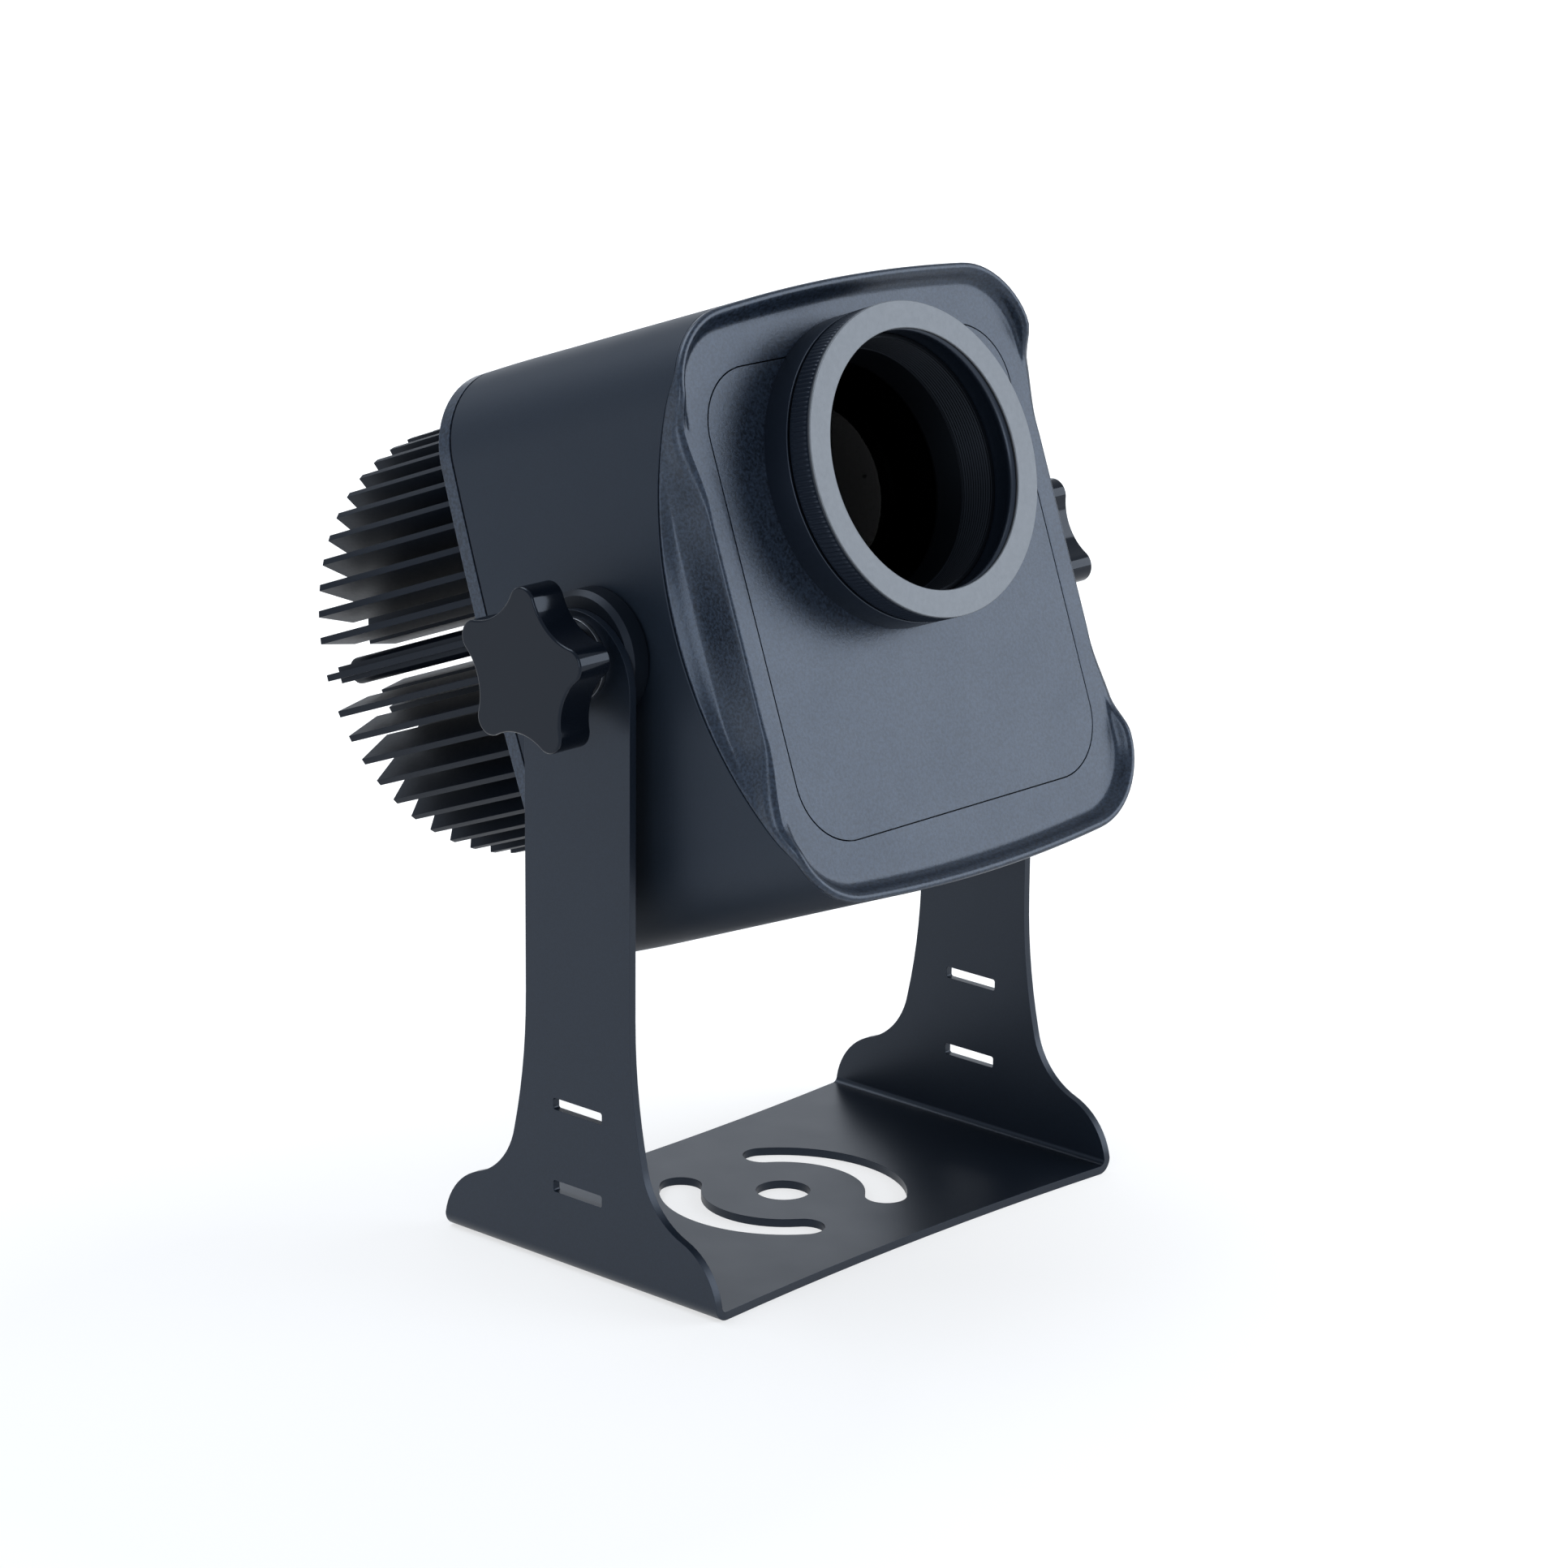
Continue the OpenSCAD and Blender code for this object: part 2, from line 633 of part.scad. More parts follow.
// focus ring, its light front ring and the clip that keeps it in the collar
module focus_ring() {
    color(black) on_lens() difference() {
        union() {
            rod(0, 0, focus_radius, band_rear, trim_front - trim_thick);
            rod(0, 0, skirt_r, plate_back - 6, band_rear + eps);
        }
        rod(0, 0, helix_r, plate_back - 7, tube_front + focus_travel + 0.8);
        rod(0, 0, trim_inner, plate_back - 7, trim_front + 1);
        ring(skirt_r - 0.8, skirt_r + 1, plate_back - 4.6, plate_back - 3.4);
    }
}
module trim_ring() {
    color(pale) on_lens() ring(trim_inner, focus_radius, trim_front - trim_thick, trim_front);
}
module focus_clip() {
    color(steel) on_lens() difference() {
        ring(skirt_r - 0.75, skirt_r + 1.6, plate_back - 4.6, plate_back - 3.4);
        translate([0, skirt_r, plate_back - 5]) cube([8, 8, 6], center = true);
    }
}

// lens tube: screws in and out inside the focus ring, kept from turning by two guide rods
module lens_tube() {
    color(black) on_lens() difference() {
        union() {
            rod(0, 0, tube_radius, 9, tube_front);
            for (a = [-20, 200]) rotate(a) {
                translate([tube_radius - 1, -4, 9]) cube([rod_ring - tube_radius + 1, 8, 3]);
                rod(rod_ring, 0, 4, 9, 12);
            }
        }
        rod(0, 0, lens_bore, 8, lens_stop);
        rod(0, 0, lens_radius - 0.8, 8, tube_front + 1);
        translate([0, 0, lens_stop + 1.5])
            cylinder(r1 = lens_radius - 0.8, r2 = tube_radius - 1.2, h = tube_front - lens_stop - 1.5 + eps);
        for (a = [-20, 200]) rotate(a) rod(rod_ring, 0, rod_r + run, 8, 13);
    }
}
// lens with one or two bulging faces: z1 to z2 is its edge, and each bulge starts inside a flat land
module bulge(r, h) {
    ball = (r * r + h * h) / (2 * h);
    intersection() {
        translate([0, 0, h - ball]) sphere(r = ball, $fn = 180);
        translate([0, 0, -eps]) cylinder(r = r, h = h + 1);
    }
}
module lens(r, z1, z2, back, back_land, front, front_land) {
    rod(0, 0, r, z1, z2);
    if (front > 0) translate([0, 0, z2]) bulge(r - front_land, front);
    if (back > 0) translate([0, 0, z1]) mirror([0, 0, 1]) bulge(r - back_land, back);
}
module front_lens() { color(clear) on_lens() lens(lens_radius, lens_stop - 3, lens_stop, 2, 2.4, 4, 0.9); }
module lens_spacer() { color(black) on_lens() ring(lens_radius - 2.3, lens_radius, 18, lens_stop - 3); }
module rear_lens() { color(clear) on_lens() lens(lens_radius, 15, 18, 0, 0, 3.5, 2.4); }
module lens_retainer() { color(black) on_lens() ring(25, lens_radius, 11.5, 15); }

// gate with the turning picture holder
module gate_plate() {
    color(metal) on_lens() difference() {
        translate([-(post_x + 5), -(post_y + 5), gate_back]) cube([2 * post_x + 10, 2 * post_y + 10, gate_front - gate_back]);
        rod(0, 0, gate_bore, gate_back - 1, gate_front + 1);
        for (i = [-1, 1], j = [-1, 1]) rod(i * post_x, j * post_y, m3 + play, gate_back - 1, gate_front + 1);
        for (a = [90, 210, 330]) rotate(a) rod(gate_bore + 4, 0, m3 - 0.2 + run, gate_back - 1, gate_front + 1);
    }
}
module gate_posts() {
    color(steel) on_lens() for (i = [-1, 1], j = [-1, 1]) difference() {
        rod(i * post_x, j * post_y, 2.8, sink_front, gate_back);
        rod(i * post_x, j * post_y, m3 + run, gate_back - 7, gate_back + 1);
    }
}
module gate_screws() {
    color(steel) on_lens() {
        for (i = [-1, 1], j = [-1, 1]) screw(i * post_x, j * post_y, gate_front, m3, 8, 2.75, 1.8);
        for (a = [90, 210, 330]) rotate(a) screw(gate_bore + 4, 0, gate_front + 1.5, m3 - 0.2, 4.5, 2.75, 1.8);
    }
}
module gobo_holder() {
    color(metal) on_lens() difference() {
        union() {
            rod(0, 0, gate_bore - run, gate_back, gate_front + 1.2);
            rod(0, 0, gate_bore + 2, gate_front + 0.15, gate_front + 1.2);
        }
        rod(0, 0, gobo_radius - 1.3, gate_back - 1, gate_front + 2);
        rod(0, 0, gobo_radius + run, gate_front - 1.4, gate_front + 2);
    }
}
module gobo() { color(clear) on_lens() rod(0, 0, gobo_radius, gate_front - 1.4, gate_front - 1.4 + gobo_thick); }
module gobo_clip() {
    color(steel) on_lens() difference() {
        ring(gobo_radius - 1.3, gobo_radius, gate_front - 1.4 + gobo_thick, gate_front - 0.5 + gobo_thick);
        translate([0, gobo_radius, gate_front]) cube([5, 5, 6], center = true);
    }
}

// condenser and light source
module condenser_holder() {
    color(black) on_lens() difference() {
        union() {
            rod(0, 0, condenser_radius + 1.8, sink_front, -8);
            rod(0, 0, condenser_radius + 7, sink_front, sink_front + 2.5);
        }
        rod(0, 0, condenser_radius - 1, sink_front - 1, 0);
        rod(0, 0, condenser_radius + run, step_z, 0);
        for (a = [30, 150, 270]) rotate(a) rod(condenser_radius + 4.4, 0, m3 + play, sink_front - 1, sink_front + 4);
    }
}
module condenser_screws() {
    color(steel) on_lens() for (a = [30, 150, 270]) rotate(a)
        screw(condenser_radius + 4.4, 0, sink_front + 2.5, m3, 5.5, 2.5, 1.6);
}
module condenser_lens() { color(clear) on_lens() lens(condenser_radius, step_z, step_z + 1.5, 0, 0, 5, 1.5); }
module condenser_spacer() { color(black) on_lens() ring(condenser_radius - 1.4, condenser_radius, step_z + 1.5, -11.2); }
module field_lens() { color(clear) on_lens() lens(condenser_radius, -11.2, -9.7, 4, 1.5, 0, 0); }
module condenser_ring() { color(black) on_lens() ring(condenser_radius - 1.8, condenser_radius, -9.7, -8); }
module led_board() {
    color(metal) on_lens() difference() {
        translate([-9.8, -9.8, sink_front]) cube([19.6, 19.6, board_front - sink_front]);
        for (i = [-1, 1]) rod(i * 8, i * 8, 1.1, sink_front - 1, board_front + 1);
    }
}
module led_emitter() { color("#e8d27a") on_lens() rod(0, 0, emitter_radius, board_front, board_front + 0.8); }

// rear cover, heat sink and their seals
module rear_gasket() {
    color(rubber) in_head() difference() {
        rear_prism(0.5, rear_rim, tube_rear);
        rear_prism(wall + 0.1, rear_rim - 1, tube_rear + 1);
    }
}
module rear_cover() {
    color(cover) in_head() difference() {
        rear_prism(0, rear_face, rear_rim);
        difference() {
            rear_prism(wall + 0.1, rear_plate, rear_rim + 1);
            tie_places() translate([0, 0, rear_plate - 1]) cylinder(r = 6, h = 5);
        }
        rod(0, sink_height, fin_outer + 0.5, rear_face - 1, rear_plate + 1);
        tie_places() translate([0, 0, rear_face - 1]) cylinder(r = tie_r + play, h = 9);
        rod(0, gland_y, gland_r + run, rear_face - 1, rear_plate + 1);
        rod(vent_x, gland_y, 4 + run, rear_face - 1, rear_plate + 1);
        for (a = [45, 135, 225, 315]) translate([0, sink_height, 0]) rotate(a)
            rod(sink_flange - 2, 0, 1 + run, rear_face + 0.7, rear_plate + 1);
    }
}
module sink_gasket() {
    color(rubber) on_sink() difference() {
        ring(fin_outer + 0.9, sink_flange - 0.2, rear_plate, sink_back);
        for (a = [45, 135, 225, 315]) rotate(a) rod(sink_flange - 2, 0, 1 + run, rear_plate - 1, sink_back + 1);
    }
}
module fin(t, r1, r2) { translate([r1, -t / 2, fin_rear]) cube([r2 - r1, t, rear_face - fin_rear + eps]); }
module heat_sink() {
    color(black) on_sink() difference() {
        union() {
            rod(0, 0, sink_flange, sink_back, sink_front);
            rod(0, 0, fin_outer + 0.3, rear_face, sink_back + eps);
            for (q = [0 : 3]) rotate(q * 90) {
                fin(fin_thick, fin_inner, fin_outer);
                fin(4, fin_inner + 1, fin_outer - 4);
                rod(fin_step + 1.6, 0, 3.2, fin_rear + 2, rear_face + eps);
                for (k = [0 : fins_per_quarter - 1])
                    rotate(45 + (k - (fins_per_quarter - 1) / 2) * fin_pitch) {
                        fin(fin_thick, fin_step, fin_outer);
                        fin(fin_thick, fin_inner, fin_gap);
                    }
            }
        }
        for (a = [45, 135, 225, 315]) rotate(a) rod(sink_flange - 2, 0, 1 + run, sink_back - 1, sink_front + 1);
        translate([0, lens_height - sink_height, 0])
            for (a = [30, 150, 270]) rotate(a) rod(condenser_radius + 4.4, 0, m3 + run, fix_z, sink_front + 1);
    }
}
module sink_screws() {
    color(steel) on_sink() for (a = [45, 135, 225, 315]) rotate(a)
        screw(sink_flange - 2, 0, sink_front, 1, 6.2, 1.9, 1.6);
}
module tie_screws() {
    color(steel) in_head() tie_places() {
        translate([0, 0, rear_face - eps]) cylinder(r = tie_r, h = face_front - 4.3 - rear_face);
        translate([0, 0, rear_face - 2.2]) cylinder(r = 3.6, h = 2.2);
    }
}

// driver board and its parts
module driver_board() {
    color("#2c5a3a") in_head() difference() {
        translate([-drv_x - drv_edge, drv_low - drv_edge, drv_back])
            cube([2 * (drv_x + drv_edge), drv_high - drv_low + 2 * drv_edge - 1, drv_front - drv_back]);
        for (i = [-1, 1], y = [drv_low, drv_high]) rod(i * drv_x, y, m3 + 0.1, drv_back - 1, drv_front + 1);
    }
}
module board_posts() {
    color(metal) in_head() for (i = [-1, 1]) difference() {
        union() {
            rod(i * drv_x, drv_low, 3, rear_plate, drv_back);
            rod(i * drv_x, drv_high, 3, sink_front, drv_back);
        }
        for (y = [drv_low, drv_high]) rod(i * drv_x, y, m3 + run, drv_back - 6, drv_back + 1);
    }
}
module board_screws() {
    color(steel) in_head() for (i = [-1, 1], y = [drv_low, drv_high])
        screw(i * drv_x, y, drv_front, m3, 6, 2.75, 1.8);
}
module driver_coil() {
    color("#a8622e") in_head() {
        rod(-coil_x, coil_y, coil_r, drv_front + coil_flange, drv_front + coil_high);
        rod(-coil_x, coil_y, coil_r + 1, drv_front, drv_front + coil_flange);
    }
}
module driver_capacitors() {
    color("#22303c") in_head() {
        for (k = [0, 1]) rod(cap_x, cap_y - k * cap_pitch, cap_r, drv_front, drv_front + cap_high);
        rod(-small_cap_x, cap_y + 2, cap_r - 1, drv_front, drv_front + coil_high);
    }
}
module driver_transformer() {
    color("#3a3328") in_head() translate([trafo_x, trafo_y, drv_front]) cube([trafo_wide, trafo_deep, trafo_high]);
}
module terminal_block() {
    color("#3f6e4c") in_head() difference() {
        translate([-block_half, block_y, drv_front]) cube([2 * block_half, block_deep, block_high]);
        for (i = [-1, 0, 1])
            rod(i * block_pitch, block_y + block_deep / 2, 1.8, drv_front + block_high - 4, drv_front + block_high + 1);
    }
}

// cable gland and pressure vent in the rear cover
module gland_body() {
    color(black) in_head() translate([0, gland_y, 0]) difference() {
        union() {
            rod(0, 0, gland_r, rear_face - 9, rear_plate + 5);
            translate([0, 0, rear_face - 4]) cylinder(r = 8.6, h = 4, $fn = 6);
        }
        rod(0, 0, cable_r, rear_face - 20, rear_plate + 6);
        rod(0, 0, 4.6, rear_face - 20, rear_face - 4);
    }
}
module gland_cap() {
    color(black) in_head() translate([0, gland_y, 0]) difference() {
        union() {
            translate([0, 0, rear_face - 10]) cylinder(r = 8.2, h = 6, $fn = 6);
            translate([0, 0, rear_face - 13.5]) cylinder(r1 = 5.2, r2 = 7, h = 3.5 + eps);
        }
        rod(0, 0, cable_r, rear_face - 20, rear_face);
        rod(0, 0, gland_r + run, rear_face - 10.2, rear_face);
    }
}
module gland_seal() { color(rubber) in_head() translate([0, gland_y, 0]) ring(cable_r, 4.6 - run, rear_face - 10, rear_face - 4.2); }
module gland_nut() {
    color(black) in_head() translate([0, gland_y, rear_plate]) difference() {
        cylinder(r = 8.6, h = 4, $fn = 6);
        translate([0, 0, -1]) cylinder(r = gland_r + run, h = 9);
    }
}
module vent_plug() {
    color(black) in_head() translate([vent_x, gland_y, 0]) {
        rod(0, 0, 4, rear_face - eps, rear_plate + 3);
        rod(0, 0, 6, rear_face - 2.5, rear_face);
    }
}

// star knobs on threaded studs
module star() {
    difference() {
        union() {
            circle(r = lobe_fill);
            for (k = [0 : 4]) rotate(k * 72) translate([lobe_ring, 0]) circle(r = lobe_tip);
        }
        for (k = [0 : 4]) rotate(k * 72 + 36) translate([valley_ring, 0]) circle(r = valley_r + 2 * eps);
    }
}
module knob(turn) {
    color(black) rotate([0, 90, 0]) difference() {
        union() {
            translate([0, 0, knob_back]) rotate(turn) linear_extrude(height = knob_face - knob_back) star();
            translate([0, 0, hub_in]) cylinder(r1 = knob_hub, r2 = knob_hub + 1.5, h = knob_back - hub_in + eps);
        }
        translate([0, 0, hub_in - 1]) cylinder(r = stud_radius + run, h = 11.2);
    }
}
module stud() {
    color(steel) rotate([0, 90, 0]) translate([0, 0, seat_x - 10]) cylinder(r = stud_radius, h = hub_in + 10 - seat_x + 10);
}
module washer() { color(steel) rotate([0, 90, 0]) ring(stud_radius + 0.2, 9.5, arm_outer, hub_in); }
module right_side() { translate([0, 0, pivot_height]) children(); }
module left_side() { translate([0, 0, pivot_height]) mirror([1, 0, 0]) children(); }
module left_washer() { left_side() washer(); }
module left_stud() { left_side() stud(); }
module left_knob() { left_side() knob(182.3); }
module right_washer() { right_side() washer(); }
module right_stud() { right_side() stud(); }
module right_knob() { right_side() knob(206); }

yoke();
tilt_discs();
pivot_inserts();
body_tube();
front_gasket();
front_cover();
front_panel();
panel_screws();
lens_collar();
collar_sleeve();
collar_screws();
guide_rods();
focus_ring();
trim_ring();
focus_clip();
lens_tube();
front_lens();
lens_spacer();
rear_lens();
lens_retainer();
gate_plate();
gate_posts();
gate_screws();
gobo_holder();
gobo();
gobo_clip();
condenser_holder();
condenser_screws();
condenser_lens();
condenser_spacer();
field_lens();
condenser_ring();
led_board();
led_emitter();
rear_gasket();
rear_cover();
sink_gasket();
heat_sink();
sink_screws();
tie_screws();
driver_board();
board_posts();
board_screws();
driver_coil();
driver_capacitors();
driver_transformer();
terminal_block();
gland_body();
gland_cap();
gland_seal();
gland_nut();
vent_plug();
left_washer();
left_stud();
left_knob();
right_washer();
right_stud();
right_knob();
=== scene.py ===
"""Gobo projector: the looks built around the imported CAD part. Metres, in the part's own frame."""
import json
from math import atan2, copysign, cos, hypot, pi, radians, sin, sqrt

import bmesh
import bpy
from mathutils import Matrix, Vector

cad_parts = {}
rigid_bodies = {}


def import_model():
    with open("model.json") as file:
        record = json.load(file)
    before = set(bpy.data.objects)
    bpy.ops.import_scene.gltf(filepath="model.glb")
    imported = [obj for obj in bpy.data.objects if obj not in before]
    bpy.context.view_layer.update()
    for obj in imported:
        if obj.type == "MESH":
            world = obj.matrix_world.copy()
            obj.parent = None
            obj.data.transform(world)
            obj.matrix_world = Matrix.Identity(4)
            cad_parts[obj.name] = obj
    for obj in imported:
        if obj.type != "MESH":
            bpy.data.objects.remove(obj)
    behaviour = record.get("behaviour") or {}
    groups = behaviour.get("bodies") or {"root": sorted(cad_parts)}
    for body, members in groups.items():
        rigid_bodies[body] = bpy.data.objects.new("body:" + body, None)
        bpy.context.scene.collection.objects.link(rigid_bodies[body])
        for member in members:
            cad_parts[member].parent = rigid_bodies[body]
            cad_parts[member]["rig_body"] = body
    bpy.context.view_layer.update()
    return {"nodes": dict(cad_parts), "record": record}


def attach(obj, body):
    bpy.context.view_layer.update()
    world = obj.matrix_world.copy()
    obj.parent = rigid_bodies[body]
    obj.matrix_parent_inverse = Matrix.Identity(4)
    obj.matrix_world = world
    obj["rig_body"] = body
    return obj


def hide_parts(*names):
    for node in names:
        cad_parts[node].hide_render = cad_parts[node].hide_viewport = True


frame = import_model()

NODES = frame["nodes"]

# places in millimetres: the tilted head (x across, y up, z forwards) and the lens axis in it
MM = Matrix.Scale(0.001, 4)
HEAD = MM @ Matrix.Translation((0, 0, 145.4)) @ Matrix.Rotation(radians(70), 4, "X")
LENS_Y = 24.5
LENS = HEAD @ Matrix.Translation((0, LENS_Y, 0))

# ---------------------------------------------------------------- materials


def rgb(text):
    """sRGB hex colour as linear RGBA."""
    parts = [int(text[i:i + 2], 16) / 255 for i in (1, 3, 5)]
    return [c / 12.92 if c <= 0.04045 else ((c + 0.055) / 1.055) ** 2.4 for c in parts] + [1.0]


def add(tree, kind, links=(), **settings):
    """Adds a node; settings go to its inputs (spaces as _) or to its own properties."""
    n = tree.nodes.new(kind)
    for key, value in settings.items():
        name = key.replace("_", " ")
        if hasattr(n, key):
            setattr(n, key, value)
        else:
            n.inputs[name].default_value = value
    for socket, source in dict(links).items():
        tree.links.new(source, n.inputs[socket])
    return n


# the photographed coats mirror the white studio in blue-grey
SHEEN = (0.68, 0.8, 1.0, 1)


def material(name, colour, roughness, metallic=0.0, **more):
    """A new material with its shader; the surface detail is added by the functions below."""
    m = bpy.data.materials.new(name)
    m.use_nodes = True
    tree = m.node_tree
    shader = tree.nodes["Principled BSDF"]
    shader.inputs["Base Color"].default_value = rgb(colour)
    shader.inputs["Roughness"].default_value = roughness
    shader.inputs["Metallic"].default_value = metallic
    for key, value in more.items():
        shader.inputs[key.replace("_", " ")].default_value = value
    m.diffuse_color = rgb(colour)
    return m, tree, shader


def object_coords(tree):
    return add(tree, "ShaderNodeTexCoord").outputs["Object"]


def noise(tree, where, scale, detail=2.0, rough=0.5):
    n = add(tree, "ShaderNodeTexNoise", {"Vector": where}, Scale=scale, Detail=detail, Roughness=rough)
    return n.outputs["Fac"]


def ramp(tree, source, low, high, first, last):
    """Maps the source from low..high to first..last."""
    r = add(tree, "ShaderNodeMapRange", {"Value": source},
            From_Min=low, From_Max=high, To_Min=first, To_Max=last)
    return r.outputs["Result"]


def blend(tree, factor, a, b):
    """Mixes two hex colours."""
    m = add(tree, "ShaderNodeMix", data_type="RGBA")
    tree.links.new(factor, m.inputs["Factor"])
    m.inputs["A"].default_value = rgb(a)
    m.inputs["B"].default_value = rgb(b)
    return m.outputs["Result"]


def bump(tree, shader, height, distance, under=None):
    """Relief of the given depth in metres, on top of the relief under it."""
    links = {"Height": height}
    if under is not None:
        links["Normal"] = under
    b = add(tree, "ShaderNodeBump", links, Strength=1.0, Distance=distance)
    tree.links.new(b.outputs["Normal"], shader.inputs["Normal"])
    return b.outputs["Normal"]


def uneven_gloss(tree, shader, wave, low, high, first, last):
    """Lets the roughness follow a noise."""
    tree.links.new(ramp(tree, wave, low, high, first, last), shader.inputs["Roughness"])


def powder(name, colour, light, dark, roughness, grain, depth, peel=0.0, **more):
    """Powder coat: fine grain, slightly mottled colour, gloss that varies, and a soft orange peel."""
    m, tree, shader = material(name, colour, roughness, Specular_Tint=SHEEN, **more)
    where = object_coords(tree)
    fine = noise(tree, where, grain, 3.0, 0.65)
    broad = noise(tree, where, 70)
    tree.links.new(blend(tree, ramp(tree, fine, 0.36, 0.64, 0, 1), dark, light), shader.inputs["Base Color"])
    uneven_gloss(tree, shader, broad, 0.3, 0.7, roughness - 0.015, roughness + 0.015)
    first = bump(tree, shader, fine, depth)
    if peel:
        bump(tree, shader, noise(tree, where, 420, 1.0), peel, first)
    return m


def machined(name, colour, roughness, metallic, grain, depth, **more):
    """Blasted or brushed metal with a fine even grain."""
    m, tree, shader = material(name, colour, roughness, metallic, **more)
    where = object_coords(tree)
    fine = noise(tree, where, grain, 2.0, 0.6)
    uneven_gloss(tree, shader, noise(tree, where, 900), 0.3, 0.7, roughness - 0.02, roughness + 0.02)
    bump(tree, shader, fine, depth)
    return m


def moulded(name, colour, roughness, grain, depth, **more):
    """Moulded plastic or rubber: nearly even, with a faint skin and slow changes of gloss."""
    m, tree, shader = material(name, colour, roughness, 0.0, **more)
    where = object_coords(tree)
    uneven_gloss(tree, shader, noise(tree, where, 45, 3.0), 0.3, 0.7, roughness - 0.03, roughness + 0.03)
    bump(tree, shader, noise(tree, where, grain), depth)
    return m


# satin powder coat on the folded sheet steel bracket
BRACKET = powder("bracket_powder_coat", "#0e151e", "#101823", "#0b1119", 0.36, 2600, 0.000005, 0.000004)
# smooth dark slate paint on the aluminium body tube
BODY = powder("body_smooth_coat", "#0f1721", "#111a25", "#0d141d", 0.5, 3000, 0.000003, 0.000003)
# sparkling fine texture coat on the cast front cover and its panel
COVER = powder("cover_texture_coat", "#161c26", "#283240", "#080c12", 0.32, 1400, 0.00004,
               Specular_IOR_Level=0.7)
# black anodised aluminium of the lens barrel
ANODISED = machined("black_anodised_aluminium", "#0c121b", 0.36, 0.0, 4200, 0.000003, Specular_Tint=SHEEN,
                    Specular_IOR_Level=0.8)
# glass-bead blasted, clear anodised aluminium of the front ring
BLASTED = machined("blasted_aluminium", "#74797f", 0.5, 0.6, 2000, 0.000016)
# plain machined aluminium inside
PLAIN = machined("plain_aluminium", "#b8bcc2", 0.35, 1.0, 3000, 0.000003)
# black anodised extruded aluminium of the heat sink
SINK_COAT = machined("sink_anodised_aluminium", "#060c15", 0.45, 0.0, 3200, 0.000004, Specular_Tint=SHEEN,
                     Specular_IOR_Level=0.25)
# zinc plated steel screws, studs and washers
STEEL = machined("plated_steel", "#8d9197", 0.3, 1.0, 2600, 0.000003)
# turned brass insert
BRASS = machined("turned_brass", "#b59a58", 0.3, 1.0, 2600, 0.000003)
# fine matt moulded plastic of the friction discs
DISC = moulded("disc_plastic", "#0a0f16", 0.4, 1500, 0.000006, Specular_Tint=SHEEN, Specular_IOR_Level=0.3)
# glossy moulded plastic of the star knobs
GLOSS = moulded("knob_gloss_plastic", "#070b12", 0.1, 300, 0.000002, Specular_Tint=SHEEN,
                Specular_IOR_Level=0.32)
# matt black nylon of the cable gland and vent
NYLON = moulded("gland_nylon", "#101317", 0.45, 1200, 0.000008)
# black rubber seals
RUBBER = moulded("seal_rubber", "#0d0f12", 0.62, 1600, 0.00001)
# dark lacquer inside the lens tube
LACQUER = moulded("bore_black_lacquer", "#020305", 0.5, 1800, 0.000006, Specular_Tint=SHEEN,
                  Specular_IOR_Level=0.3)


def glass(name, colour, roughness):
    """Clear optical glass; its gloss varies a little, as wiped glass does."""
    m, tree, shader = material(name, colour, roughness, Transmission_Weight=1.0, IOR=1.06,
                               Specular_IOR_Level=0.3)
    haze = noise(tree, object_coords(tree), 60, 3.0)
    uneven_gloss(tree, shader, haze, 0.45, 0.8, roughness, roughness + 0.03)
    return m


# optical glass: a low index stands in for a coating that takes nearly every reflection away, and a nearly
# black tint is painted shade, so that the bore looks black
LENS_GLASS_PAINTED_DARK = glass("lens_glass", "#161d25", 0.01)


def gobo_glass():
    """Glass disc with a black coating and a plain picture of rings; the rings are drawn dark grey, painted
    shade of the unlit inside, where they would be clear.
    """
    m, tree, shader = material("gobo_glass", "#08090b", 0.2)
    far = add(tree, "ShaderNodeVectorMath", {"Vector": object_coords(tree)}, operation="DISTANCE")
    far.inputs[1].default_value = LENS @ Vector((0, 0, -1))
    wave = add(tree, "ShaderNodeMath", {"Value": far.outputs["Value"]}, operation="PINGPONG")
    wave.inputs[1].default_value = 0.003
    cut = add(tree, "ShaderNodeMath", {"Value": wave.outputs["Value"]}, operation="GREATER_THAN")
    cut.inputs[1].default_value = 0.0012
    # the rings' dark grey is painted shade in place of clear glass
    tree.links.new(blend(tree, cut.outputs["Value"], "#08090b", "#161c22"), shader.inputs["Base Color"])
    return m


GOBO = gobo_glass()
# yellow phosphor of the light source
PHOSPHOR = moulded("led_phosphor", "#d9c33c", 0.4, 2500, 0.00001)
# circuit board lacquer
BOARD = moulded("board_lacquer", "#155a3a", 0.3, 800, 0.000006)
# enamelled copper winding
COPPER = machined("winding_copper", "#a2552c", 0.35, 0.9, 2600, 0.00001)
# dark case of the electronic parts
CASE = moulded("component_plastic", "#1d2026", 0.4, 1400, 0.000006)
# grey-green terminal block plastic
TERMINAL = moulded("terminal_plastic", "#4f6b58", 0.42, 1400, 0.000006)

SLOTS = {
    "bracket_paint": BRACKET, "body_paint": BODY, "cover_paint": COVER, "black_aluminium": ANODISED,
    "blasted_aluminium": BLASTED, "plain_aluminium": PLAIN, "sink_aluminium": SINK_COAT,
    "steel_screw": STEEL, "insert_brass": BRASS, "black_plastic": DISC, "knob_plastic": GLOSS,
    "gland_plastic": NYLON, "seal_rubber": RUBBER, "lens_glass": LENS_GLASS_PAINTED_DARK, "gobo_glass": GOBO,
    "led_phosphor": PHOSPHOR, "circuit_board": BOARD, "coil_copper": COPPER,
    "component_plastic": CASE, "terminal_plastic": TERMINAL,
}
SLOT_OF = {row["node"]: row["material_slot"] for row in frame["record"]["subparts"]}

# ---------------------------------------------------------------- shapes


def put(name, data):
    obj = bpy.data.objects.new(name, data)
    bpy.context.scene.collection.objects.link(obj)
    return obj


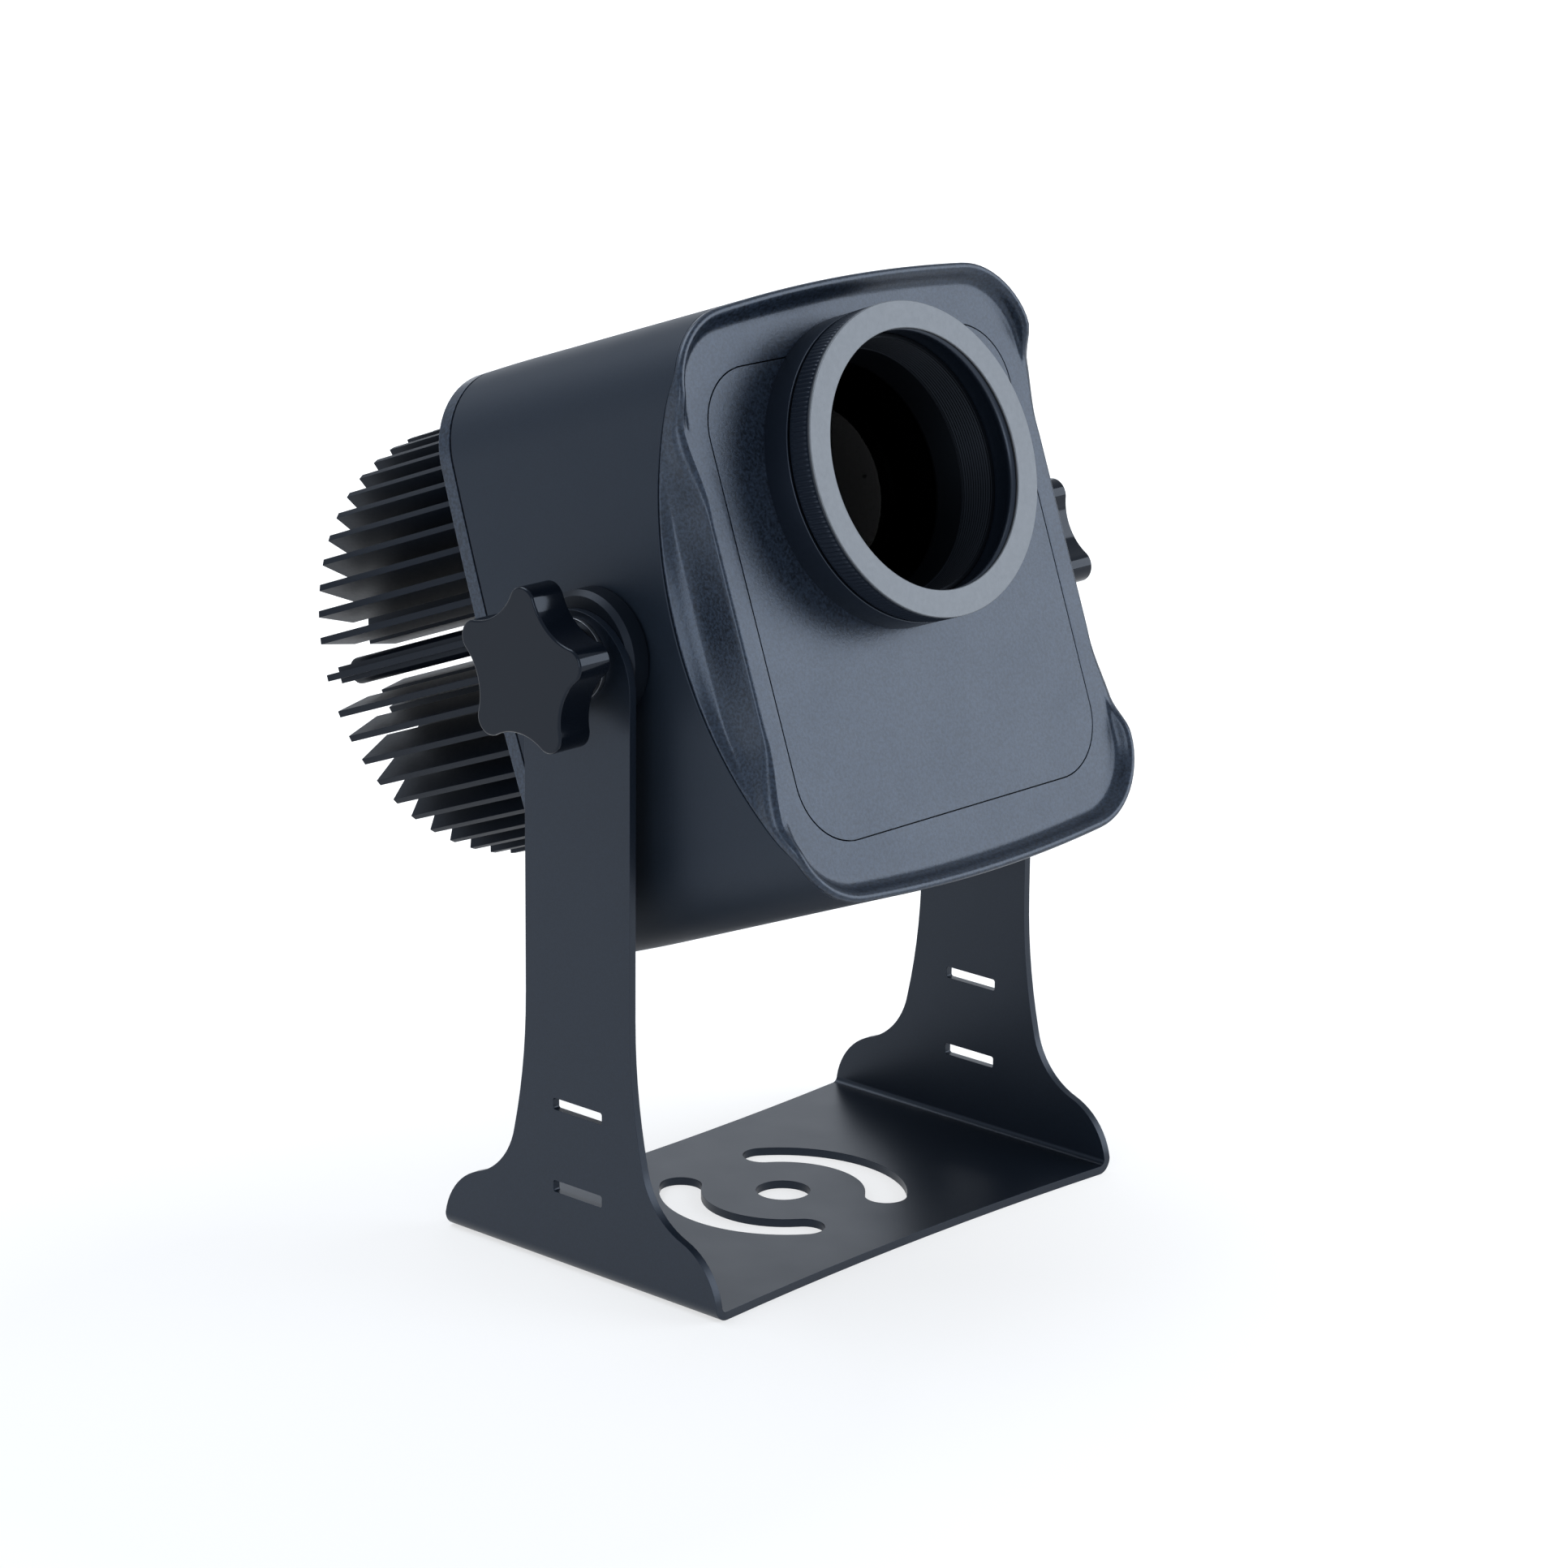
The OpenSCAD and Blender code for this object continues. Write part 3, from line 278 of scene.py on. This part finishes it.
def piece(name, bm, body, finish, stands_for):
    """Makes an object of the mesh, smooth shaded with even flats, riding on a CAD body in a node's place."""
    bmesh.ops.recalc_face_normals(bm, faces=bm.faces)
    for f in bm.faces:
        f.smooth = True
    mesh = bpy.data.meshes.new(name)
    bm.to_mesh(mesh)
    bm.free()
    mesh.materials.append(finish)
    obj = put(name, mesh)
    even = obj.modifiers.new("even_flats", "WEIGHTED_NORMAL")
    even.keep_sharp = True
    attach(obj, body)
    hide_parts(stands_for)
    return obj


def soft_piece(node, width, segments):
    """The CAD node's mesh with its edges rounded, as a painted or turned part has them."""
    bm = bmesh.new()
    bm.from_mesh(NODES[node].data)
    bmesh.ops.remove_doubles(bm, verts=bm.verts, dist=2e-6)
    bmesh.ops.dissolve_limit(bm, angle_limit=radians(0.4), verts=bm.verts, edges=bm.edges)
    bmesh.ops.recalc_face_normals(bm, faces=bm.faces)
    edges = [e for e in bm.edges if len(e.link_faces) == 2 and abs(e.calc_face_angle(0)) > radians(30)]
    bmesh.ops.bevel(bm, geom=edges, offset=width * 0.001, segments=segments, profile=0.5,
                    affect="EDGES", clamp_overlap=True, material=-1)
    slot = SLOT_OF[node]
    return piece(node + "_dressed", bm, NODES[node]["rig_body"], SLOTS[slot], node)


def loft(rows, place):
    """A skin through closed rings of points: rings follow one another, the last ring may meet the first."""
    n, m = len(rows[0]), len(rows)
    bm = bmesh.new()
    bmesh.ops.create_grid(bm, x_segments=n, y_segments=m - 1, size=0.5)
    bm.verts.ensure_lookup_table()
    order = sorted(bm.verts, key=lambda v: (round(v.co.y, 5), round(v.co.x, 5)))
    for i, v in enumerate(order):
        v.co = place @ Vector(rows[i // (n + 1)][i % (n + 1) % n])
    bmesh.ops.remove_doubles(bm, verts=bm.verts, dist=1e-7)
    return bm


def turned(profile, place, steps):
    """A turned part: the profile (radius, along) spun round the place's z axis."""
    bm = bmesh.new()
    start = [bm.verts.new((r, 0, z)) for r, z in profile]
    edges = [bm.edges.new((a, b)) for a, b in zip(start, start[1:] + start[:1])]
    bmesh.ops.spin(bm, geom=start + edges, cent=(0, 0, 0), axis=(0, 0, 1), angle=2 * pi, steps=steps,
                   use_merge=True, use_duplicate=False)
    bmesh.ops.remove_doubles(bm, verts=bm.verts, dist=1e-4)
    bm.transform(place)
    return bm


# the head's cross section: half width, half height and corner at the rim, radii of the bulging top and sides
HALF_W, HALF_H, CORNER = 60, 69, 20
CROWN, SIDE = 440.0, 1000.0
# steps along half a side, round a corner and along half the top
SIDE_STEPS, CORNER_STEPS, TOP_STEPS = 36, 14, 12


def outline(half_w, half_h, r):
    """Rounded rectangle with slightly bulging sides, as points anticlockwise from the right middle."""
    a, b = CROWN - r, SIDE - r
    ox, oy = half_w - SIDE, half_h - CROWN
    d = hypot(ox, oy)
    k = (a * a - b * b + d * d) / (2 * d)
    h = sqrt(a * a - k * k)
    cx, cy = k * ox / d - h * oy / d, oy - k * oy / d - h * ox / d
    low = atan2(cy, cx - ox)
    high = atan2(cy - oy, cx)

    def arc(x, y, radius, start, end, steps):
        turns = [start + (end - start) * i / steps for i in range(steps)]
        return [(x + radius * cos(a), y + radius * sin(a)) for a in turns]

    quarter = arc(ox, 0, SIDE, 0, low, SIDE_STEPS) + arc(cx, cy, r, low, high, CORNER_STEPS)
    quarter += arc(0, oy, CROWN, high, pi / 2, TOP_STEPS)
    back = [(0.0, half_h)] + quarter[:0:-1]
    return (quarter + [(-x, y) for x, y in back] + [(-x, -y) for x, y in quarter]
            + [(x, -y) for x, y in back])


# heights of the cover's face and of the lip round it
FACE, LIP = 38.3, 41.5
# the sweep of the rim at both sides: an arc's centre and radius, and how softly it meets the lip's height
SWEEP_CENTRE, SWEEP_RADIUS, SWEEP_SOFT = 121.7, 97.0, 0.9
# depth of the cover's wall behind the rim
WALL_DEPTH = 1.5


def foot_height(y):
    """How far forward the foot of the cover's wall lies at a height y in the head."""
    z = SWEEP_CENTRE - SWEEP_RADIUS * sqrt(max(0.0, 1 - (y / SWEEP_RADIUS) ** 2))
    s = max(0.0, SWEEP_SOFT - abs(z - LIP)) / SWEEP_SOFT
    return min(z, LIP) - s * s * SWEEP_SOFT / 4 - WALL_DEPTH


def ease(value, low, high):
    """Smooth step from 0 to 1."""
    k = min(1.0, max(0.0, (value - low) / (high - low)))
    return k * k * (3 - 2 * k)


# lip section from its outer edge inwards: inset, share of the lip's height over the face, extra height;
# the first rows are the rounded brow
BROW_ROWS = 4
LIP_WIDTH = 4.6
LIP_SECTION = [
    (0.0, 1, -0.85), (0.1, 1, -0.45), (0.33, 1, -0.15), (0.68, 1, 0.0), (1.15, 1, 0.0), (1.55, 1, -0.12),
    (1.87, 1, -0.4), (2.12, 0.8, 0), (2.4, 0.6, 0), (2.7, 0.38, 0), (3.0, 0.2, 0), (3.35, 0.08, 0),
    (3.8, 0.02, 0), (LIP_WIDTH, 0, 0),
]
# hollow beside the panel: half width of the face there, where it fades out up and down the side, the height
# at which its flat foot meets the steep part, and that part's rows as shares of inset and height
FACE_HALF_W = 56.15
FADE_START, FADE_END = 25, 43
KNEE = 27.1
STEEP_ROWS = ((0.16, 0.06), (0.5, 0.2), (0.7, 0.4), (0.86, 0.7), (0.98, 0.95))


def side_section(x, y):
    """The cover's side at an outline point: inset at the raised face, size of the brow, height of the lip,
    and the wall's rows as inset and height."""
    far = abs(y - copysign(1.7, x))
    lip_start = 40 if x > 0 else 43.5
    lift = (LIP - FACE) * ease(far, lip_start, lip_start + 9.5)
    w = max(0.0, abs(x) - FACE_HALF_W) * (1 - ease(far, FADE_START, FADE_END))
    brow = 1 + 1.8 * ease(far, 22, 38) * (1 - ease(far, 40, 54))
    foot = foot_height(y)
    top = FACE + lift - 0.85 * brow
    gap = KNEE - foot - 1.2
    knee = min(foot + 1.2 + (gap + sqrt(gap ** 2 + 2)) / 2, top - 0.3)
    b = 0.95 * w * (knee - foot) / (knee - foot + 0.8)
    start = min(0.6, (knee - foot) * 0.4)
    rows = [(0, foot), (0, foot + start * 0.6)]
    rows += [(b * k, foot + start + (knee - foot - start) * k) for k in (0.05, 0.5, 0.92)]
    rows += [(b + (w - b) * k, knee + (top - knee) * m) for k, m in STEEP_ROWS]
    return w, brow, lift, rows


# radius of the hole round the lens collar
COLLAR_HOLE = 34.95


def panel_opening(angle, gap):
    """Distance from the head's axis to the edge of the opening for the panel and the collar."""
    c, s = cos(angle), sin(angle)
    hw, hh, r = 50.1 + gap, 53.7 + gap, 15.0
    far = min(hw / abs(c) if abs(c) > 1e-9 else 1e9, hh / abs(s) if abs(s) > 1e-9 else 1e9)
    px, py = hw - r, hh - r
    if abs(far * c) > px and abs(far * s) > py:
        b = abs(c) * px + abs(s) * py
        far = b + sqrt(max(0.0, b * b - px * px - py * py + r * r))
    b = s * LENS_Y
    inside = b * b - LENS_Y ** 2 + COLLAR_HOLE ** 2
    return max(far, b + sqrt(max(0.0, inside)))


def front_cover():
    base = outline(HALF_W, HALF_H, CORNER)
    angles = [atan2(y, x) for x, y in base]

    def ring_at(inset_x, inset_y, z=None):
        """The outline moved inwards, at z or else at the wall's foot."""
        pts = outline(HALF_W - inset_x, HALF_H - inset_y, CORNER - inset_x)
        return [(x, y, foot_height(b[1]) if z is None else z) for (x, y), b in zip(pts, base)]

    def opening(z, gap):
        return [(panel_opening(a, gap) * cos(a), panel_opening(a, gap) * sin(a), z) for a in angles]

    sides = [side_section(x, y) for x, y in base]
    rows = []
    for k in range(len(sides[0][3])):
        row = []
        for (x, y), side in zip(base, sides):
            inset, z = side[3][k]
            row.append((x - copysign(inset, x), y, z))
        rows.append(row)
    for k, (inset, share, extra) in enumerate(LIP_SECTION):
        shapes, row = {}, []
        for i, (w, brow, lift, _) in enumerate(sides):
            if k < BROW_ROWS:
                wide, drop = inset * brow, extra * brow
            else:
                wide = inset + 0.68 * (brow - 1) * (LIP_WIDTH - inset) / 3.92
                drop = extra * min(1, lift / 1.6)
            wide = round(wide, 3)
            if wide not in shapes:
                deep = wide + max(0, wide - 2) * 0.667
                shapes[wide] = outline(HALF_W - wide, HALF_H - deep, CORNER - wide)
            x, y = shapes[wide][i]
            row.append((x - copysign(w, x), y, FACE + lift * share + drop))
        rows.append(row)
    rows += [opening(FACE, 0.22), opening(FACE - 0.1, 0.125), opening(35.8, 0.125)]
    rows += [ring_at(6, 7, 35.8), ring_at(6, 7, 16), ring_at(2.2, 2.2, 16), ring_at(2.2, 2.2, 17.4),
             ring_at(3.2, 3.2, 17.4), ring_at(3.2, 3.2, 19.4), ring_at(2.2, 2.2, 19.4), ring_at(2.2, 2.2),
             rows[0]]
    return piece("front_cover_shell", loft(rows, HEAD), "head", COVER, "front_cover")


# gap between the tube's front edge and the cover
SEAM = 0.05


def body_tube():
    rear, front = -33.3, 39.7
    wider = 1.6

    def ring_at(inset, along, back=0.0):
        """along: 0 at the rear edge, 1 at the scooped front edge; back: millimetres behind it."""
        at_rear = outline(HALF_W + wider - inset, HALF_H + wider - inset, CORNER - inset)
        at_rim = outline(HALF_W - inset, HALF_H - inset, CORNER - inset)
        row = []
        for (x1, y1), (x2, y2) in zip(at_rear, at_rim):
            end = min(front + 0.1, foot_height(y2) - SEAM)
            z = rear + (end - rear) * along - back
            k = (z - rear) / (front - rear)
            row.append((x1 + (x2 - x1) * k, y1 + (y2 - y1) * k, z))
        return row

    rows = [ring_at(0.25, 0), ring_at(0.07, 0, -0.07), ring_at(0, 0, -0.25), ring_at(0, 0.25),
            ring_at(0, 0.5), ring_at(0, 0.75), ring_at(0, 1, 0.28), ring_at(0.08, 1, 0.08), ring_at(0.28, 1),
            ring_at(1.9, 1), ring_at(2, 1, 0.1), ring_at(2, 0.5), ring_at(2, 0)]
    return piece("body_tube_skin", loft(rows + rows[:1], HEAD), "head", BODY, "body_tube")


def knurled_ring():
    """Focus ring: straight, slightly slanted knurl on its band, turned skirt behind it."""
    steps, around = 5, 4 * 190
    # heights of the four points of a tooth: crest, flank, root, flank
    tooth = (0.24, 0.06, -0.2, 0.06)
    z1, z2 = 46.3, 51.6
    rows = []
    sections = [(45.9, 35.5, 0), (46.15, 35.75, 0), (z1, 35.8, 0), (z1 + 0.3, 35.8, 1)]
    sections += [(z1 + 0.3 + (z2 - z1 - 0.6) * i / steps, 35.8, 1) for i in range(1, steps)]
    sections += [(z2 - 0.3, 35.8, 1), (z2, 35.8, 0), (51.9, 35.95, 0), (52.1, 35.95, 0), (52.1, 29.74, 0),
                 (49.3, 29.74, 0), (49.3, 30.4, 0), (29.8, 30.4, 0), (29.8, 33.35, 0), (31.2, 33.35, 0),
                 (31.2, 32.6, 0), (32.4, 32.6, 0), (32.4, 33.35, 0), (45.9, 33.35, 0)]
    for z, r, k in sections:
        row = []
        slant = (z - z1) * 0.075 / 36 if z1 - 1 < z < z2 + 1 else 0
        for i in range(around):
            a = 2 * pi * i / around + slant
            rr = r + k * tooth[i % 4]
            row.append((rr * cos(a), rr * sin(a), z))
        rows.append(row)
    return piece("focus_ring_knurled", loft(rows + rows[:1], LENS), "focus", ANODISED,
                 "focus_ring")


def trim_ring():
    profile = [(29.74, 52.1), (36.06, 52.1), (36.06, 52.72), (35.98, 52.85), (35.85, 52.9), (29.99, 52.9),
               (29.8, 52.82), (29.74, 52.65)]
    return piece("trim_ring_blasted", turned(profile, LENS, 180), "focus", BLASTED,
                 "trim_ring")


def sleeve():
    profile = [(34.95, 38.3), (36.0, 38.3), (36.0, 45.3), (35.95, 45.45), (35.8, 45.5), (34.95, 45.5)]
    return piece("collar_sleeve_turned", turned(profile, LENS, 180), "head", ANODISED,
                 "collar_sleeve")


def lens_tube():
    """Sliding tube: stepped mouth, fine baffle rings, then a smooth cone down to the lens edge."""
    profile = [(27.85, 9), (30.35, 9), (30.35, 44.8), (30.2, 45), (29.25, 45), (29.15, 44.85)]
    z = 44.6
    while z > 36.4:
        r = 29.15 - (44.85 - z) * 0.055
        profile += [(r, z), (r + 0.28, z - 0.16), (r + 0.28, z - 0.4), (r - 0.02, z - 0.5)]
        z -= 0.72
    profile += [(28.5, 36.2), (27.05, 29.9), (27.0, 29.3), (27.85, 29.3)]
    bm = turned(profile, LENS, 160)
    for a in (-20, 200):
        bmesh.ops.create_cube(bm, size=1.0, matrix=LENS @ Matrix.Rotation(radians(a), 4, "Z")
                              @ Matrix.Translation((34, 0, 10.5)) @ Matrix.Diagonal((8.4, 8, 3, 1)))
    return piece("lens_tube_turned", bm, "lens", LACQUER, "lens_tube")


front_cover()
body_tube()
knurled_ring()
trim_ring()
sleeve()
lens_tube()

# edge roundings in millimetres and their steps
for name, width, segments in (
        ("yoke", 0.35, 2), ("front_panel", 0.1, 1), ("rear_cover", 0.5, 2), ("tilt_discs", 0.3, 2),
        ("left_knob", 0.55, 3), ("left_washer", 0.12, 1), ("right_knob", 0.55, 3), ("right_washer", 0.12, 1),
        ("heat_sink", 0.12, 1), ("gland_body", 0.3, 2), ("gland_cap", 0.3, 2), ("vent_plug", 0.3, 2)):
    soft_piece(name, width, segments)

# every CAD node that still shows gets its finish
for name, obj in NODES.items():
    if not obj.hide_render:
        obj.data.materials.clear()
        obj.data.materials.append(SLOTS[SLOT_OF[name]])

# ---------------------------------------------------------------- floor, light and camera


def stage():
    bm = bmesh.new()
    bmesh.ops.create_grid(bm, x_segments=2, y_segments=2, size=30)
    mesh = bpy.data.meshes.new("floor")
    bm.to_mesh(mesh)
    bm.free()
    floor = put("floor", mesh)
    # matt white studio paper; to the camera it glows less near the part's left, a painted soft shadow, and
    # more further off
    m, tree, shader = material("floor_paper", "#9ea0a2", 0.9)
    shader.inputs["Emission Color"].default_value = (1, 1, 1, 1)
    path = add(tree, "ShaderNodeLightPath")
    far = add(tree, "ShaderNodeVectorMath", {"Vector": object_coords(tree)}, operation="DISTANCE")
    # centre of the painted shadow, left of the part; the camera-ray glow rises with distance from it
    far.inputs[1].default_value = (-0.14, -0.02, 0)
    painted_shadow = ramp(tree, far.outputs["Value"], 0.1, 0.45, 0.64, 1.0)
    gain = add(tree, "ShaderNodeMix", {"Factor": path.outputs["Is Camera Ray"]}, data_type="FLOAT")
    gain.inputs["A"].default_value = 0.6
    tree.links.new(painted_shadow, gain.inputs["B"])
    tree.links.new(gain.outputs["Result"], shader.inputs["Emission Strength"])
    mesh.materials.append(m)


def lamp(name, place, target, size, power):
    """A soft box at a place, turned to a target; all have the same cool daylight white."""
    data = bpy.data.lights.new(name, "AREA")
    data.shape = "RECTANGLE"
    data.size, data.size_y = size
    data.energy = power
    data.color = (0.94, 0.97, 1.0)
    obj = put(name, data)
    obj.location = place
    obj.rotation_mode = "QUATERNION"
    obj.rotation_quaternion = (Vector(target) - Vector(place)).to_track_quat("-Z", "Y")


def lights():
    """Four soft boxes and a dim studio; the camera sees the studio as white."""
    world = bpy.data.worlds.new("studio")
    bpy.context.scene.world = world
    world.use_nodes = True
    tree = world.node_tree
    back = tree.nodes["Background"]
    path = add(tree, "ShaderNodeLightPath")
    mix = add(tree, "ShaderNodeMix", {"Factor": path.outputs["Is Camera Ray"]}, data_type="RGBA")
    mix.inputs["A"].default_value = (0.48, 0.52, 0.58, 1)
    mix.inputs["B"].default_value = (1, 1, 1, 1)
    tree.links.new(mix.outputs["Result"], back.inputs["Color"])
    lamp("key_front_right", (1.5, -1.45, 0.75), (0, 0, 0.12), (1.5, 1.3), 18)
    lamp("top_rear", (-0.4, 0.9, 1.7), (0, 0, 0.1), (1.4, 1.2), 16)
    lamp("low_rear", (1.3, 1.2, 0.55), (0, 0, 0.05), (1.2, 0.6), 1.8)
    lamp("fill_left", (-1.75, -0.7, 0.4), (0, 0, 0.14), (0.9, 1.1), 8.5)


def camera():
    """The photograph's camera, solved from the bracket's edges and holes."""
    data = bpy.data.cameras.new("camera")
    data.lens = 116.43
    data.sensor_width = 36
    obj = put("camera", data)
    turn, rise, roll = radians(-47.165), radians(15.900), radians(0.553)
    ahead = -Vector((sin(turn) * cos(rise), -cos(turn) * cos(rise), sin(rise)))
    right = ahead.cross(Vector((0, 0, 1))).normalized()
    up = right.cross(ahead)
    across = right * cos(roll) + up * sin(roll)
    upward = up * cos(roll) - right * sin(roll)
    m = Matrix((across, upward, -ahead)).transposed().to_4x4()
    m.translation = Vector((-0.83393, -0.77203, 0.42638))
    obj.matrix_world = m
    data.clip_start, data.clip_end = 0.05, 60
    bpy.context.scene.camera = obj


stage()
lights()
camera()
bpy.context.scene.view_settings.view_transform = "Standard"
bpy.context.view_layer.update()
